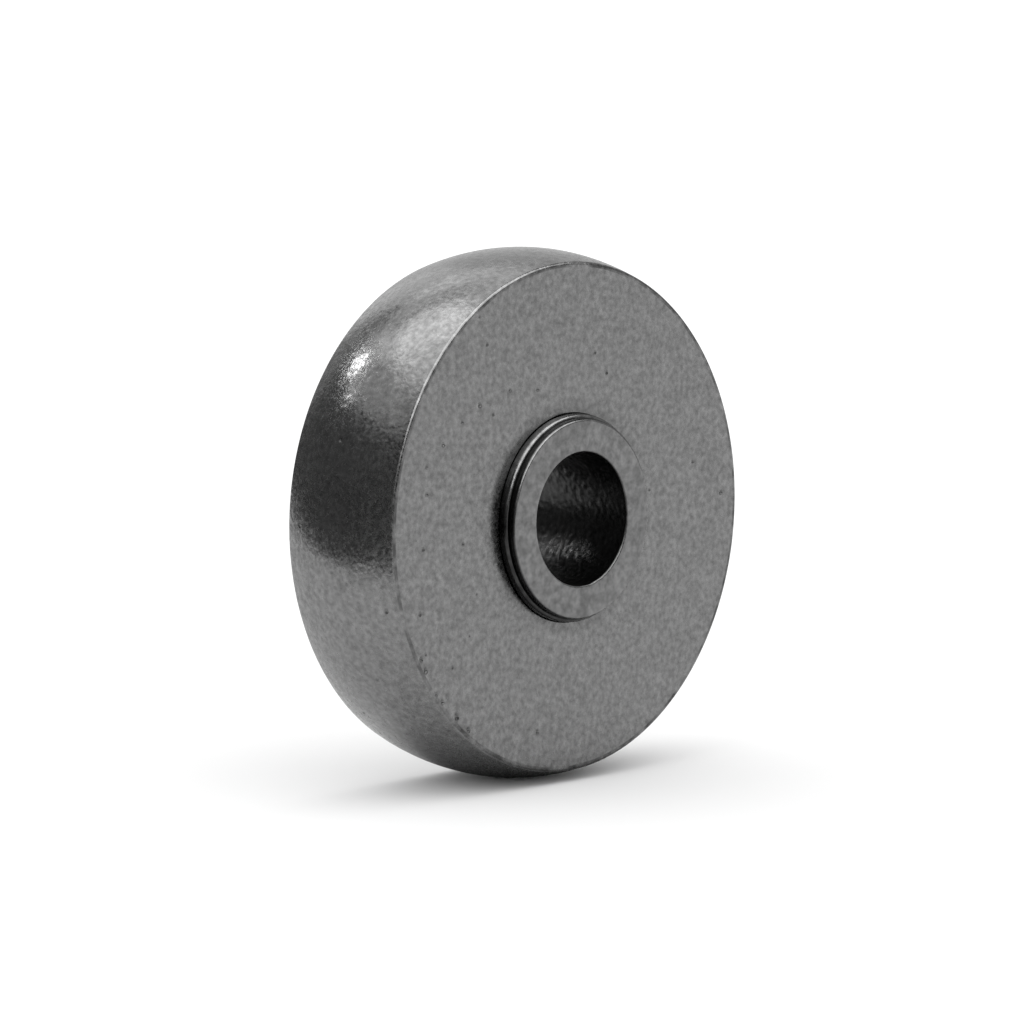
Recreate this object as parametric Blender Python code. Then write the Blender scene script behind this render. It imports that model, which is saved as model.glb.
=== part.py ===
"""The wheel of a hand seam roller: a crowned metal roller that turns on a stepped hub sleeve.

Metres, +Z up. The origin is the wheel's centre, its axle runs along Y, and its front faces -Y.
Both pieces are turned parts, so each is one closed outline swept round the Y axis. An outline's
points are (radius, out), where out is the distance from the wheel's mid-plane.
"""

import math

import bmesh
import bpy

MM = 0.001

# Driving dimensions
AXLE_BORE_DIAMETER = 8.0 * MM
SLEEVE_DIAMETER = 12.5 * MM
SLEEVE_LENGTH = 10.5 * MM
NOSE_DIAMETER = 12.0 * MM
CROWN_DIAMETER = 32.0 * MM
RIM_DIAMETER = 30.5 * MM
TREAD_WIDTH = 8.5 * MM

# Roller details
RUNNING_CLEARANCE = 0.06 * MM
RIM_EDGE_RADIUS = 0.2 * MM

# Sleeve details: it stands out of each face as a rounded shoulder, and then as a narrower nose
SHOULDER_HEIGHT = 0.55 * MM
SHOULDER_RADIUS = 0.2 * MM
NOSE_EDGE_RADIUS = 0.18 * MM
BORE_EDGE_RADIUS = 0.15 * MM

# Facets
STEPS_ROUND = 96
EDGE_STEPS = 4
CROWN_STEPS = 5

# A point nearer than this to the mid-plane lies on it
ON_MID_PLANE = 0.001 * MM

HALF_TREAD = TREAD_WIDTH / 2
SHOULDER_END = HALF_TREAD + SHOULDER_HEIGHT
SLEEVE_END = SLEEVE_LENGTH / 2
QUARTER = math.pi / 2


def arc(centre, radius, start, end, steps):
    """Points on an arc. An angle of 0 points away from the axle, and 90 degrees points outwards."""
    turn = (end - start) / steps
    angles = [start + turn * step for step in range(steps + 1)]
    return [(centre[0] + radius * math.cos(a), centre[1] + radius * math.sin(a)) for a in angles]


def roller_outline():
    """The edge of the roller's hole, the rounded rim of its face, then the crown of its tread."""
    hole = SLEEVE_DIAMETER / 2 + RUNNING_CLEARANCE
    drop = (CROWN_DIAMETER - RIM_DIAMETER) / 2
    crown_radius = (HALF_TREAD**2 + drop**2) / (2 * drop)
    crown_centre = CROWN_DIAMETER / 2 - crown_radius
    edge_out = HALF_TREAD - RIM_EDGE_RADIUS
    reach = math.sqrt((crown_radius - RIM_EDGE_RADIUS) ** 2 - edge_out**2)
    meet = math.atan2(edge_out, reach)
    edge_centre = (crown_centre + reach, edge_out)
    edge = arc(edge_centre, RIM_EDGE_RADIUS, QUARTER, meet, EDGE_STEPS)
    crown = arc((crown_centre, 0), crown_radius, meet, 0, CROWN_STEPS)
    return [(hole, HALF_TREAD)] + edge + crown[1:]


def sleeve_outline():
    """One end of the sleeve: its flat end face between two rounded edges, its nose and its shoulder."""
    nose = NOSE_DIAMETER / 2
    bore_edge = (AXLE_BORE_DIAMETER / 2 + BORE_EDGE_RADIUS, SLEEVE_END - BORE_EDGE_RADIUS)
    nose_edge = (nose - NOSE_EDGE_RADIUS, SLEEVE_END - NOSE_EDGE_RADIUS)
    shoulder_edge = (SLEEVE_DIAMETER / 2 - SHOULDER_RADIUS, SHOULDER_END - SHOULDER_RADIUS)
    inside = arc(bore_edge, BORE_EDGE_RADIUS, 2 * QUARTER, QUARTER, EDGE_STEPS)
    outside = arc(nose_edge, NOSE_EDGE_RADIUS, QUARTER, 0, EDGE_STEPS)
    shoulder = arc(shoulder_edge, SHOULDER_RADIUS, QUARTER, 0, EDGE_STEPS)
    return inside + outside + [(nose, SHOULDER_END)] + shoulder


def both_sides(half):
    """A closed outline of (radius, y): the front half, then its mirror image.

    A point on the mid-plane belongs to both, and is there once.
    """
    front = [(radius, -out) for radius, out in half]
    rear = [(radius, out) for radius, out in reversed(half) if out > ON_MID_PLANE]
    return front + rear


def metal(name, grey, roughness):
    """A bare metal."""
    material = bpy.data.materials.new(name)
    material.use_nodes = True
    shader = material.node_tree.nodes["Principled BSDF"]
    shader.inputs["Base Color"].default_value = (grey, grey, grey, 1)
    shader.inputs["Metallic"].default_value = 1
    shader.inputs["Roughness"].default_value = roughness
    return material


def turned(name, outline, material, axle):
    """A piece turned round the Y axis from a closed outline."""
    shape = bmesh.new()
    points = [shape.verts.new((radius, y, 0)) for radius, y in outline]
    lines = [shape.edges.new(ends) for ends in zip(points, points[1:] + points[:1])]
    bmesh.ops.spin(
        shape,
        geom=points + lines,
        axis=(0, 1, 0),
        angle=2 * math.pi,
        steps=STEPS_ROUND,
        use_merge=True,
    )
    bmesh.ops.recalc_face_normals(shape, faces=shape.faces)
    mesh = bpy.data.meshes.new(name)
    shape.to_mesh(mesh)
    shape.free()
    mesh.shade_smooth()
    mesh.set_sharp_from_angle(angle=math.radians(35))
    mesh.materials.append(material)
    piece = bpy.data.objects.new(name, mesh)
    piece.parent = axle
    bpy.context.collection.objects.link(piece)
    return piece


def build():
    for old in list(bpy.data.objects):
        bpy.data.objects.remove(old)
    axle = bpy.data.objects.new("axle_line", None)
    bpy.context.collection.objects.link(axle)
    tumbled_metal = metal("tumbled_metal", 0.19, 0.24)
    bush_metal = metal("bush_metal", 0.19, 0.26)
    turned("roller", both_sides(roller_outline()), tumbled_metal, axle)
    turned("hub_sleeve", both_sides(sleeve_outline()), bush_metal, axle)


build()
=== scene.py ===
"""The looks of a seam roller's wheel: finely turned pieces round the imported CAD, in worn grey metal.

Metres, +Z up, in the CAD's frame: the axle runs along Y through the origin, and the front faces -Y.
The CAD says how large each piece is, and the named values below say what its edges and surface are
like.
"""

import math

import bmesh
import bpy
import numpy as np
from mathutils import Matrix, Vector, kdtree


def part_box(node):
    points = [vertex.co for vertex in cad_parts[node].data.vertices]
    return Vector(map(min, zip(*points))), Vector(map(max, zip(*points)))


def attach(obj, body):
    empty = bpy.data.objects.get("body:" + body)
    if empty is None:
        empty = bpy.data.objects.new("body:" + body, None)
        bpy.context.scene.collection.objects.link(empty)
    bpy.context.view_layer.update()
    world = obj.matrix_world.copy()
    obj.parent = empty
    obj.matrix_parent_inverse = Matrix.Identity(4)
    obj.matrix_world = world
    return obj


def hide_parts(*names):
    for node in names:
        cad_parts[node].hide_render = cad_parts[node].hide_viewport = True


MM = 0.001

# The shapes that the CAD's boxes don't give
AXLE_BORE_RADIUS = 4.0 * MM
RIM_DROP = 0.75 * MM
RIM_EDGE_RADIUS = 0.2 * MM
RUNNING_CLEARANCE = 0.06 * MM
SHOULDER_HEIGHT = 0.55 * MM
SHOULDER_RADIUS = 0.2 * MM
NOSE_RADIUS = 6.0 * MM
NOSE_EDGE_RADIUS = 0.18 * MM
BORE_EDGE_RADIUS = 0.15 * MM
QUARTER = math.pi / 2

# The camera looks at the front face from its front left, a little from above
VIEW_AZIMUTH = math.radians(-47.9)
VIEW_ELEVATION = math.radians(6.4)
VIEW_DISTANCE = 306 * MM
VIEW_WIDTH = 61.15 * MM
VIEW_LEFT = 3.48 * MM
VIEW_UP = 0.33 * MM
SENSOR_WIDTH = 36.0
NEAREST_SEEN = 10 * MM

# The studio: (name, azimuth, elevation, width, height, radiance), with angles in degrees as seen from
# the wheel. An azimuth of 0 is in front of the wheel, and 90 is on its +X side.
LAMP_DISTANCE = 0.6
LAMPS = [
    ("top", 90, 84, 50, 50, 0.7),
    ("top_rear", 165, 62, 56, 40, 0.85),
    ("top_left", -120, 70, 60, 34, 1.9),
    ("high_left", -135, 46, 70, 24, 0.85),
    ("low_left", -140, 18, 90, 40, 0.16),
    ("low_rear", 163, 28, 34, 50, 0.4),
    ("spot_rear", -166, 37, 4, 5, 26.0),
    ("spot_low", -151, 33, 2.5, 2.5, 14.0),
    ("panel_rear", 132, 30, 56, 60, 0.8),
    ("panel_right", 66, 20, 70, 50, 0.5),
    ("front_top", 5, 46, 80, 60, 3.6),
    ("front_left", -60, 10, 60, 30, 0.6),
]
FLOOR_RADIUS = 6.0
FLOOR_GREY = 0.9
ROOM_LIGHT = 1.3
FLAG_SIDE = -55 * MM
FLAG_HEIGHT = 30 * MM
FLAG_LENGTH = 400 * MM
FLAG_GREY = 0.12
# A painted contact shadow: a dark disc on the floor round the contact, which only reflections see
SHADE_RADIUS = 11 * MM
SHADE_CORE = 0.3 * SHADE_RADIUS
SHADE_GREY = 0.18
SHADE_LIFT = 0.02 * MM
DISC_STEPS = 64

# Turned meshes: steps round the axle and on a rounded edge, the longest step of an outline, and the
# angle from which an edge is shaded sharp
STEPS_ROUND = 360
ARC_STEPS = 8
FINE_STEP = 0.2 * MM
SHARP_ANGLE = math.radians(40)

# A low unevenness of the worn surface: its height, and the lengths of its waves
SEED = 7
WAVES = 40
WAVE_HEIGHT = 0.002 * MM
WAVE_LENGTHS = (1.2 * MM, 4.0 * MM)

# Pits given one by one. On a face: (x, z, radius, depth). On the tread: (angle, y, radius, depth), where
# an angle of 0 points along +X and 90 points up. Lengths are in mm.
FACE_PITS = [
    (-12.4, 2.4, 0.18, 0.05),
    (-12.4, 4.0, 0.15, 0.05),
    (-11.0, 5.2, 0.20, 0.06),
    (-9.4, 6.4, 0.15, 0.04),
    (-7.9, 7.3, 0.22, 0.06),
    (-5.3, 8.0, 0.15, 0.05),
    (-2.9, 7.9, 0.18, 0.05),
    (-12.9, -7.2, 0.20, 0.07),
    (-12.5, -7.9, 0.24, 0.08),
    (-11.6, -9.4, 0.18, 0.06),
    (-11.1, -9.9, 0.20, 0.07),
    (-9.9, -10.9, 0.28, 0.07),
    (-8.9, -11.8, 0.22, 0.07),
    (-2.9, -12.6, 0.20, 0.06),
]
TREAD_PITS = [
    (213, -1.2, 0.20, 0.06),
    (196, -3.4, 0.24, 0.06),
    (172, -3.2, 0.18, 0.05),
]

# Pits drawn at random, and how finely the mesh is cut round any pit
LOOSE_PITS = 48
LOOSE_PIT_RADII = (0.10 * MM, 0.20 * MM)
PIT_DEPTH_SHARE = 0.2
TREAD_PIT_REACH = 0.9
HOLE_PIT_GAP = 3 * FINE_STEP
PIT_CUTS = 3

# Both metals: how much light they reflect, its range in the grain, and the ranges of the noise used
METAL_GREY = 0.185
GRAIN_SIZE = 0.36 * MM
GRAIN_GREYS = (METAL_GREY * 0.76, METAL_GREY * 1.24)
NOISE_MIDDLE = (0.25, 0.75)
MOTTLE_MIDDLE = (0.3, 0.7)

# The roller's metal. A share multiplies the grey, or the roughness or height that it is named after. The
# belt's reach is in shares of half the tread. FACE_START and the two FULLs are distances from the face.
FROST_SIZE = 0.2 * MM
FROST_MIDDLE = (0.2, 0.8)
FROST_ROUGHNESS = (0.12, 0.40)
FROST_HEIGHT = 0.008 * MM
ROLLER_GRAIN_HEIGHT = 0.016 * MM
ROLLER_MOTTLE_SIZE = 1.1 * MM
ROLLER_MOTTLE_SHARES = (0.95, 1.05)
SPECK_SPACING = 1.7 * MM
SPECK_SIZE = 0.16 * MM
SPECK_CORE = 0.4
SPECK_SHARE = 0.8
PIT_SHARE = 0.7
PIT_DARK_DEPTH = 0.6
BELT_REACH = (0.15, 0.85)
BELT_ROUGHNESS_SHARE = 0.8
BELT_HEIGHT_SHARE = 0.6
FACE_START = 0.1 * MM
FACE_HEIGHT_FULL = 0.02 * MM
FACE_SHADE_FULL = 0.04 * MM
FACE_HEIGHT_SHARE = 0.35
# Painted shade on the faces: a darker ring round the hole, and a broken dark line just inside each rim
HOLE_SHADE_RADII = (6.3 * MM, 7.3 * MM)
HOLE_SHADE_SHARE = 0.75
RIM_SHADE_REACH = (0.04 * MM, 0.14 * MM)
RIM_SHADE_SHARE = 0.4
RIM_SHADE_BREAKS = (0.35, 0.65)

# The sleeve's metal, with the same shares
SLEEVE_GRAIN_HEIGHT = 0.012 * MM
SLEEVE_MOTTLE_SIZE = 0.7 * MM
SLEEVE_MOTTLE_SHARES = (0.88, 1.12)
LUMP_SIZE = 0.34 * MM
LUMP_HEIGHT = 0.03 * MM
BORE_MOUTH = (AXLE_BORE_RADIUS + 0.02 * MM, AXLE_BORE_RADIUS + 0.1 * MM)
END_SHARE = 1.1
BORE_SHARE = 0.25
END_ROUGHNESS = 0.24
BORE_ROUGHNESS = 0.3
# Painted shade on the sleeve: its shoulder darkest at the root and on its lower half, and a dark band
# round the nose
SHOULDER_SHADE_SHARES = (0.3, 0.8)
LOW_SHADE_FADE = 0.05 * MM
LOW_SHADE_TOP = 2.5 * MM
LOW_SHADE_SHARE = 0.25
NOSE_SHADE_REACH = (0.02 * MM, 0.1 * MM)
NOSE_SHADE_SHARE = 0.2


def arc(centre, radius, start, end, steps=ARC_STEPS):
    """Points on an arc. An angle of 0 points away from the axle, and 90 degrees points outwards."""
    turn = (end - start) / steps
    angles = [start + turn * step for step in range(steps + 1)]
    return [(centre[0] + radius * math.cos(a), centre[1] + radius * math.sin(a)) for a in angles]


def finely(outline):
    """The outline with points added, so that no step is longer than FINE_STEP."""
    points = [outline[0]]
    for start, end in zip(outline, outline[1:]):
        steps = max(1, math.ceil(math.dist(start, end) / FINE_STEP))
        for step in range(1, steps + 1):
            share = step / steps
            points.append(tuple(a + (b - a) * share for a, b in zip(start, end)))
    return points


def crown_arc(crown_top, half_tread):
    """The radii of the crown's centre and of the crown itself, as seen in the roller's section."""
    crown_radius = (half_tread**2 + RIM_DROP**2) / (2 * RIM_DROP)
    return crown_top - crown_radius, crown_radius


def rim_centre(crown_top, half_tread):
    """The centre of the rim's rounded edge, as (radius, out). The flat face ends at its radius."""
    crown_centre, crown_radius = crown_arc(crown_top, half_tread)
    edge_out = half_tread - RIM_EDGE_RADIUS
    reach = math.sqrt((crown_radius - RIM_EDGE_RADIUS) ** 2 - edge_out**2)
    return crown_centre + reach, edge_out


def roller_outline(crown_top, half_tread):
    """One half of the roller's section, as (radius, out) from the hole to the mid-plane."""
    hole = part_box("hub_sleeve")[1].x + RUNNING_CLEARANCE
    crown_centre, crown_radius = crown_arc(crown_top, half_tread)
    edge_centre = rim_centre(crown_top, half_tread)
    meet = math.atan2(edge_centre[1], edge_centre[0] - crown_centre)
    edge = arc(edge_centre, RIM_EDGE_RADIUS, QUARTER, meet)
    crown = arc((crown_centre, 0), crown_radius, meet, 0)
    return [(hole, 0)] + finely([(hole, half_tread)] + edge + crown[1:])


def sleeve_outline(outer, end, half_tread):
    """One half of the sleeve's section: its bore, its end face, its nose, its shoulder and its side."""
    shoulder_end = half_tread + SHOULDER_HEIGHT
    bore_edge = (AXLE_BORE_RADIUS + BORE_EDGE_RADIUS, end - BORE_EDGE_RADIUS)
    nose_edge = (NOSE_RADIUS - NOSE_EDGE_RADIUS, end - NOSE_EDGE_RADIUS)
    shoulder_edge = (outer - SHOULDER_RADIUS, shoulder_end - SHOULDER_RADIUS)
    inside = arc(bore_edge, BORE_EDGE_RADIUS, 2 * QUARTER, QUARTER)
    outside = arc(nose_edge, NOSE_EDGE_RADIUS, QUARTER, 0) + [(NOSE_RADIUS, shoulder_end)]
    shoulder = arc(shoulder_edge, SHOULDER_RADIUS, QUARTER, 0)
    seen = finely([(AXLE_BORE_RADIUS, 0)] + inside + outside + shoulder + [(outer, half_tread)])
    return seen + [(outer, 0)]


def turned(name, half):
    """A closed piece turned round Y from half of its section, which is mirrored to the rear."""
    section = [(r, -out) for r, out in half] + [(r, out) for r, out in reversed(half[1:-1])]
    angles = np.linspace(0, math.tau, STEPS_ROUND, endpoint=False)
    radius, along = np.array(section).T
    points = np.stack(
        [
            np.outer(np.cos(angles), radius),
            np.broadcast_to(along, (STEPS_ROUND, len(section))),
            np.outer(np.sin(angles), radius),
        ],
        axis=2,
    )
    rows = len(section)
    here = np.arange(STEPS_ROUND)[:, None] * rows
    there = np.roll(here, -1, axis=0)
    row = np.arange(rows)[None, :]
    after = np.roll(row, -1, axis=1)
    faces = np.stack([here + row, here + after, there + after, there + row], axis=2)
    mesh = bpy.data.meshes.new(name)
    mesh.from_pydata(points.reshape(-1, 3).tolist(), [], faces.reshape(-1, 4).tolist())
    shape = bmesh.new()
    shape.from_mesh(mesh)
    bmesh.ops.recalc_face_normals(shape, faces=shape.faces)
    shape.to_mesh(mesh)
    shape.free()
    piece = bpy.data.objects.new(name, mesh)
    bpy.context.scene.collection.objects.link(piece)
    return piece


def unevenness(points):
    """The height of the worn surface's low waves at each point: a sum of seeded plane waves.

    A wave's height is in step with its length, so that short waves aren't steeper than long ones.
    """
    random = np.random.default_rng(SEED)
    headings = random.normal(size=(WAVES, 3))
    headings /= np.linalg.norm(headings, axis=1, keepdims=True)
    lengths = random.uniform(*WAVE_LENGTHS, WAVES)
    phases = random.uniform(0, math.tau, WAVES)
    heights = WAVE_HEIGHT * lengths / lengths.max() * math.sqrt(2 / WAVES)
    return np.sin(points @ (headings / lengths[:, None]).T * math.tau + phases) @ heights


def wear(piece, pits):
    """Makes the surface uneven and sinks pits into it, with a finer mesh round each of them.

    A pit is (centre, radius, depth), in metres. The mesh keeps how deep in a pit each point lies.
    """
    shape = bmesh.new()
    shape.from_mesh(piece.data)
    near = kdtree.KDTree(len(shape.verts))
    for vertex in shape.verts:
        near.insert(vertex.co, vertex.index)
    near.balance()
    shape.verts.ensure_lookup_table()
    patch = set()
    for centre, radius, _ in pits:
        for _, index, _ in near.find_range(centre, 2 * radius + FINE_STEP):
            patch.update(shape.verts[index].link_edges)
    patch = sorted(patch, key=lambda edge: edge.index)
    bmesh.ops.subdivide_edges(shape, edges=patch, cuts=PIT_CUTS, use_grid_fill=True)
    shape.normal_update()
    shape.to_mesh(piece.data)
    shape.free()

    mesh = piece.data
    count = len(mesh.vertices)
    points = np.empty(count * 3, dtype=np.float32)
    mesh.vertices.foreach_get("co", points)
    points = points.reshape(-1, 3).astype(float)
    normals = np.empty(count * 3, dtype=np.float32)
    mesh.vertices.foreach_get("normal", normals)
    normals = normals.reshape(-1, 3)
    sink = -unevenness(points)
    shade = np.zeros(count)
    for centre, radius, depth in pits:
        away = np.linalg.norm(points - np.array(centre), axis=1) / radius
        inside = np.clip(1 - away**2, 0, 1) ** 2
        sink += depth * inside
        shade = np.maximum(shade, inside)
    points -= normals * sink[:, None]
    mesh.vertices.foreach_set("co", points.astype(np.float32).ravel())
    mesh.attributes.new("pit", "FLOAT", "POINT").data.foreach_set("value", shade.astype(np.float32))
    mesh.shade_smooth()
    mesh.set_sharp_from_angle(angle=SHARP_ANGLE)
    mesh.update()


def crown_radius_at(along, crown_top, half_tread):
    """The tread's radius at a distance along the axle from the mid-plane."""
    crown_centre, crown_radius = crown_arc(crown_top, half_tread)
    return crown_centre + math.sqrt(crown_radius**2 - along**2)


def roller_pits(crown_top, half_tread):
    """The roller's pits, listed one by one at its front and by a seeded draw all over.

    The draw puts one pit in three on the tread, one on the rear face and one on the front face.
    """
    pits = []
    for x, z, radius, depth in FACE_PITS:
        pits.append((Vector((x * MM, -half_tread, z * MM)), radius * MM, depth * MM))
    for angle, along, radius, depth in TREAD_PITS:
        reach = crown_radius_at(along * MM, crown_top, half_tread)
        turn = math.radians(angle)
        centre = Vector((reach * math.cos(turn), along * MM, reach * math.sin(turn)))
        pits.append((centre, radius * MM, depth * MM))
    random = np.random.default_rng(SEED)
    hole_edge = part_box("hub_sleeve")[1].x + HOLE_PIT_GAP
    rim = crown_top - RIM_DROP - RIM_EDGE_RADIUS
    for number in range(LOOSE_PITS):
        turn = random.uniform(0, math.tau)
        radius = random.uniform(*LOOSE_PIT_RADII)
        if number % 3 == 0:
            along = random.uniform(-half_tread, half_tread) * TREAD_PIT_REACH
            reach = crown_radius_at(along, crown_top, half_tread)
        else:
            along = half_tread if number % 3 == 1 else -half_tread
            reach = math.sqrt(random.uniform(hole_edge**2, rim**2))
        centre = Vector((reach * math.cos(turn), along, reach * math.sin(turn)))
        pits.append((centre, radius, radius * PIT_DEPTH_SHARE))
    return pits


class Nodes:
    """Short calls that build a material's nodes. Sizes are in metres."""

    def __init__(self, name, metallic=1):
        self.material = bpy.data.materials.new(name)
        self.material.use_nodes = True
        self.tree = self.material.node_tree
        self.shader = self.tree.nodes["Principled BSDF"]
        self.shader.inputs["Metallic"].default_value = metallic
        self.place = self.add("ShaderNodeTexCoord").outputs["Object"]
        self.apart = self.add("ShaderNodeSeparateXYZ", {"Vector": self.place}).outputs
        self.along = self.maths("ABSOLUTE", self.apart["Y"])
        self.radius = self.distance("XZ")

    def add(self, kind, inputs=None, **settings):
        """A node with its settings, and with its inputs set to values or linked to sockets."""
        made = self.tree.nodes.new(kind)
        for name, value in settings.items():
            setattr(made, name, value)
        for name, value in (inputs or {}).items():
            if isinstance(value, bpy.types.NodeSocket):
                self.tree.links.new(value, made.inputs[name])
            else:
                made.inputs[name].default_value = value
        return made

    def maths(self, operation, *values):
        """The result of an operation on values or sockets."""
        made = self.add("ShaderNodeMath", dict(enumerate(values)), operation=operation)
        return made.outputs[0]

    def distance(self, axes):
        """How far a point is from the origin, measured along two axes only."""
        squares = [self.maths("POWER", self.apart[axis], 2) for axis in axes]
        return self.maths("SQRT", self.maths("ADD", *squares))

    def product(self, first, *factors):
        """All of the values multiplied together."""
        for factor in factors:
            first = self.maths("MULTIPLY", first, factor)
        return first

    def mapped(self, value, source, target):
        """The value carried from one range to another, and held at its ends."""
        ends = {"Value": value, "From Min": source[0], "From Max": source[1]}
        ends.update({"To Min": target[0], "To Max": target[1]})
        return self.add("ShaderNodeMapRange", ends).outputs["Result"]

    def noise(self, size, detail=0.0):
        """Noise with lumps of a size."""
        scale = [1 / size] * 3
        place = self.add("ShaderNodeVectorMath", {0: self.place, 1: scale}, operation="MULTIPLY")
        inputs = {"Vector": place.outputs[0], "Scale": 1.0, "Detail": detail}
        return self.add("ShaderNodeTexNoise", inputs).outputs["Fac"]

    def grain(self):
        """The noise and the grey of the metal's grain."""
        noise = self.noise(GRAIN_SIZE, 1.0)
        return noise, self.mapped(noise, NOISE_MIDDLE, GRAIN_GREYS)

    def specks(self, spacing, size):
        """1 inside round specks, which are as far apart as the spacing, and 0 outside."""
        inputs = {"Vector": self.place, "Scale": 1 / spacing}
        cells = self.add("ShaderNodeTexVoronoi", inputs).outputs["Distance"]
        edge = size / spacing
        return self.mapped(cells, (edge, SPECK_CORE * edge), (0, 1))

    def finish(self, grey, roughness, height):
        """Joins the grey, the roughness and the height in metres to the shader."""
        bump = self.add("ShaderNodeBump", {"Height": height, "Strength": 1.0, "Distance": 1.0})
        self.tree.links.new(grey, self.shader.inputs["Base Color"])
        self.tree.links.new(roughness, self.shader.inputs["Roughness"])
        self.tree.links.new(bump.outputs["Normal"], self.shader.inputs["Normal"])
        return self.material


def tumbled_metal(half_tread, face_rim):
    """The roller's metal: grainy, burnished round the tread's middle, with painted shade round the hole
    and at the rims.
    """
    nodes = Nodes("tumbled_metal")
    grain, grain_grey = nodes.grain()
    frost = nodes.noise(FROST_SIZE, 1.0)
    mottle = nodes.noise(ROLLER_MOTTLE_SIZE, 2.0)
    specks = nodes.specks(SPECK_SPACING, SPECK_SIZE)
    pit = nodes.add("ShaderNodeAttribute", attribute_name="pit").outputs["Fac"]

    # Painted shade: a broken dark line on each face just inside the rim.
    from_rim = nodes.maths("ABSOLUTE", nodes.maths("SUBTRACT", nodes.radius, face_rim))
    broken = nodes.mapped(mottle, RIM_SHADE_BREAKS, (RIM_SHADE_SHARE, 1.0))
    painted_rim_shade = nodes.maths("MAXIMUM", broken, nodes.mapped(from_rim, RIM_SHADE_REACH, (0, 1)))
    face_start = half_tread - FACE_START
    off_face = nodes.mapped(nodes.along, (face_start, half_tread - FACE_SHADE_FULL), (1, 0))
    grey = nodes.product(
        grain_grey,
        nodes.mapped(mottle, MOTTLE_MIDDLE, ROLLER_MOTTLE_SHARES),
        nodes.mapped(specks, (0, 1), (1, SPECK_SHARE)),
        nodes.mapped(pit, (0, PIT_DARK_DEPTH), (1, PIT_SHARE)),
        # Painted shade: a darker ring on the face round the sleeve's shoulder.
        nodes.mapped(nodes.radius, HOLE_SHADE_RADII, (HOLE_SHADE_SHARE, 1.0)),
        nodes.maths("MAXIMUM", painted_rim_shade, off_face),
    )

    belt = [share * half_tread for share in BELT_REACH]
    polish = nodes.mapped(nodes.along, belt, (BELT_ROUGHNESS_SHARE, 1.0))
    roughness = nodes.product(nodes.mapped(frost, FROST_MIDDLE, FROST_ROUGHNESS), polish)

    burnish = nodes.mapped(nodes.along, belt, (BELT_HEIGHT_SHARE, 1.0))
    near_face = (face_start, half_tread - FACE_HEIGHT_FULL)
    flatness = nodes.mapped(nodes.along, near_face, (1.0, FACE_HEIGHT_SHARE))
    grain_height = nodes.product(grain, ROLLER_GRAIN_HEIGHT)
    height = nodes.maths("ADD", grain_height, nodes.product(frost, FROST_HEIGHT))
    return nodes.finish(grey, roughness, nodes.product(height, burnish, flatness))


def bush_metal(half_tread):
    """The sleeve's metal: a mottled end, painted shade on its shoulder and nose, most on the shoulder's
    lower half, and a dark lumpy bore.
    """
    nodes = Nodes("bush_metal")
    grain, grain_grey = nodes.grain()
    lumps = nodes.noise(LUMP_SIZE, 0.0)
    mottle = nodes.noise(SLEEVE_MOTTLE_SIZE, 2.0)
    in_bore = nodes.mapped(nodes.radius, BORE_MOUTH, (1, 0))

    shoulder_end = half_tread + SHOULDER_HEIGHT
    # Painted shade: darkest at the shoulder's root by the roller's face, and a little darker on the rest
    # of the outside.
    root_shade = nodes.mapped(nodes.along, (half_tread, shoulder_end), SHOULDER_SHADE_SHARES)
    past_shoulder = nodes.mapped(nodes.along, (shoulder_end, shoulder_end + LOW_SHADE_FADE), (0, 1))
    # Painted shade: the shoulder is darker on its lower half, below the axle.
    high = nodes.mapped(nodes.apart["Z"], (0, LOW_SHADE_TOP), (LOW_SHADE_SHARE, 1.0))
    low_shade = nodes.maths("MAXIMUM", past_shoulder, high)
    # Painted shade: a dark band round the nose's side wall.
    from_nose = nodes.maths("ABSOLUTE", nodes.maths("SUBTRACT", nodes.radius, NOSE_RADIUS))
    grey = nodes.product(
        grain_grey,
        nodes.mapped(mottle, MOTTLE_MIDDLE, SLEEVE_MOTTLE_SHARES),
        nodes.mapped(in_bore, (0, 1), (END_SHARE, BORE_SHARE)),
        nodes.maths("MAXIMUM", root_shade, in_bore),
        nodes.maths("MAXIMUM", low_shade, in_bore),
        nodes.mapped(from_nose, NOSE_SHADE_REACH, (NOSE_SHADE_SHARE, 1.0)),
    )

    roughness = nodes.mapped(in_bore, (0, 1), (END_ROUGHNESS, BORE_ROUGHNESS))
    end_height = nodes.product(grain, SLEEVE_GRAIN_HEIGHT)
    bore_height = nodes.product(lumps, in_bore, LUMP_HEIGHT)
    return nodes.finish(grey, roughness, nodes.maths("ADD", end_height, bore_height))


def bearing(azimuth, elevation):
    """The direction from the wheel at an azimuth and an elevation, both in radians."""
    flat = math.cos(elevation)
    return Vector((math.sin(azimuth) * flat, -math.cos(azimuth) * flat, math.sin(elevation)))


def camera(target):
    """The camera at its distance from the target, which lies a little right of the picture's middle."""
    data = bpy.data.cameras.new("camera")
    data.sensor_width = SENSOR_WIDTH
    data.lens = SENSOR_WIDTH * VIEW_DISTANCE / VIEW_WIDTH
    data.clip_start = NEAREST_SEEN
    back = bearing(VIEW_AZIMUTH, VIEW_ELEVATION)
    right = Vector((math.cos(VIEW_AZIMUTH), math.sin(VIEW_AZIMUTH), 0))
    up = back.cross(right)
    eye = bpy.data.objects.new("camera", data)
    eye.location = target + back * VIEW_DISTANCE
    aim = target - right * VIEW_LEFT + up * VIEW_UP
    eye.rotation_euler = (aim - eye.location).to_track_quat("-Z", "Y").to_euler()
    bpy.context.scene.collection.objects.link(eye)
    bpy.context.scene.camera = eye


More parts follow.
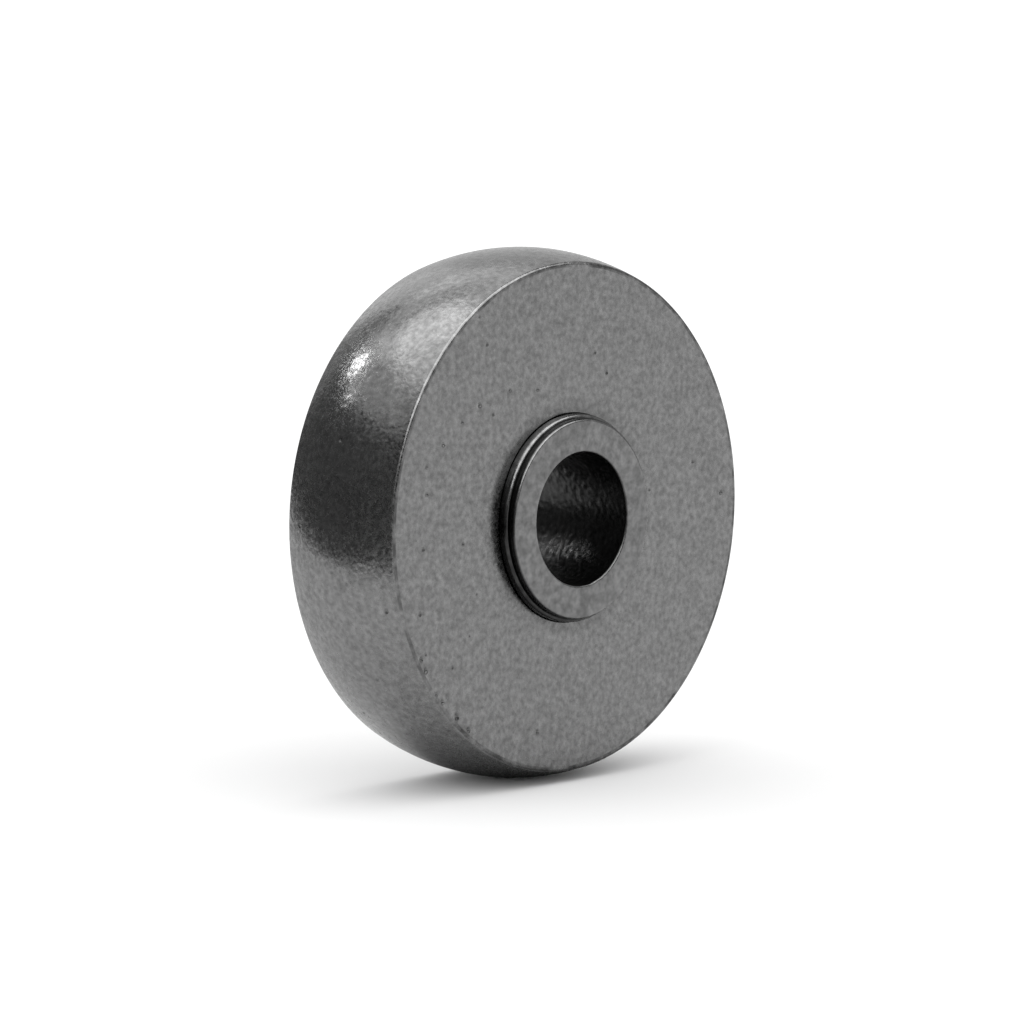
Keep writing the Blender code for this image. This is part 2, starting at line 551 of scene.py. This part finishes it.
def lamp(name, azimuth, elevation, width, height, radiance):
    """A soft lamp that faces the wheel and is as wide and high as the angles say."""
    data = bpy.data.lights.new(name, "AREA")
    data.shape = "ELLIPSE"
    data.size = 2 * LAMP_DISTANCE * math.tan(math.radians(width) / 2)
    data.size_y = 2 * LAMP_DISTANCE * math.tan(math.radians(height) / 2)
    data.energy = radiance * math.pi * (math.pi / 4 * data.size * data.size_y)
    out = bearing(math.radians(azimuth), math.radians(elevation))
    light = bpy.data.objects.new(name, data)
    light.location = out * LAMP_DISTANCE
    light.rotation_euler = (-out).to_track_quat("-Z", "Y").to_euler()
    light.visible_camera = False
    light.visible_diffuse = False
    bpy.context.scene.collection.objects.link(light)


def matt(name, grey):
    """A plain matt material of one grey."""
    material = bpy.data.materials.new(name)
    material.use_nodes = True
    shader = material.node_tree.nodes["Principled BSDF"]
    shader.inputs["Base Color"].default_value = (grey, grey, grey, 1)
    shader.inputs["Roughness"].default_value = 1
    shader.inputs["Specular IOR Level"].default_value = 0
    return material


def painted_contact_shadow():
    """A painted contact shadow: a matt material, dark round the Z axis and as pale as the floor from
    SHADE_RADIUS on.
    """
    nodes = Nodes("painted_contact_shadow", metallic=0)
    nodes.shader.inputs["Specular IOR Level"].default_value = 0
    nodes.shader.inputs["Roughness"].default_value = 1
    grey = nodes.mapped(nodes.distance("XY"), (SHADE_CORE, SHADE_RADIUS), (SHADE_GREY, FLOOR_GREY))
    nodes.tree.links.new(grey, nodes.shader.inputs["Base Color"])
    return nodes.material


def stage_piece(name, corners, material):
    """One flat face that belongs to the studio, and not to the object."""
    mesh = bpy.data.meshes.new(name)
    mesh.from_pydata(corners, [], [tuple(range(len(corners)))])
    mesh.materials.append(material)
    piece = bpy.data.objects.new(name, mesh)
    bpy.context.scene.collection.objects.link(piece)
    return piece


def reflection_card(name, corners, material):
    """A studio piece that is seen in reflections only."""
    card = stage_piece(name, corners, material)
    card.visible_camera = False
    card.visible_diffuse = False
    card.visible_shadow = False


def level_disc(radius, height):
    """The corners of a level disc round the Z axis."""
    turns = [math.tau * step / DISC_STEPS for step in range(DISC_STEPS)]
    return [(radius * math.cos(turn), radius * math.sin(turn), height) for turn in turns]


def studio(ground):
    """A pale floor, soft lamps, and two dark cards: a flag on the -X side and a painted contact shadow
    round the contact.
    """
    stage_piece("floor", level_disc(FLOOR_RADIUS, ground), matt("floor_paper", FLOOR_GREY))
    top = ground + FLAG_HEIGHT
    ends = [(-FLAG_LENGTH, ground), (FLAG_LENGTH, ground), (FLAG_LENGTH, top), (-FLAG_LENGTH, top)]
    corners = [(FLAG_SIDE, along, up) for along, up in ends]
    reflection_card("flag", corners, matt("flag_cloth", FLAG_GREY))
    reflection_card("shade", level_disc(SHADE_RADIUS, ground + SHADE_LIFT), painted_contact_shadow())
    for row in LAMPS:
        lamp(*row)
    world = bpy.data.worlds.new("studio")
    bpy.context.scene.world = world
    world.use_nodes = True
    background = world.node_tree.nodes["Background"]
    background.inputs["Color"].default_value = (1, 1, 1, 1)
    background.inputs["Strength"].default_value = ROOM_LIGHT
    world.cycles_visibility.glossy = False
    bpy.context.scene.view_settings.view_transform = "Standard"


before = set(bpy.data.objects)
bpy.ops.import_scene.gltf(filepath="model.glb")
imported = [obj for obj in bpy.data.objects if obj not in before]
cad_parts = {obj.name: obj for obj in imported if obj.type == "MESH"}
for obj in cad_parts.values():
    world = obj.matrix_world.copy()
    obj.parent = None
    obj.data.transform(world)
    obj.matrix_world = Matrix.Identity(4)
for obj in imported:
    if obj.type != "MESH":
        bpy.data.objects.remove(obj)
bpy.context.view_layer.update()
roller_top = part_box("roller")[1]
sleeve_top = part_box("hub_sleeve")[1]
half_tread = roller_top.y
camera(Vector((0, -half_tread, 0)))
studio(-roller_top.z)

roller = turned("roller_body", roller_outline(roller_top.z, half_tread))
wear(roller, roller_pits(roller_top.z, half_tread))
face_rim = rim_centre(roller_top.z, half_tread)[0]
roller.data.materials.append(tumbled_metal(half_tread, face_rim))
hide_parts("roller")
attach(roller, "wheel")

sleeve = turned("sleeve_body", sleeve_outline(sleeve_top.z, sleeve_top.y, half_tread))
wear(sleeve, [])
sleeve.data.materials.append(bush_metal(half_tread))
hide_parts("hub_sleeve")
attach(sleeve, "hub")
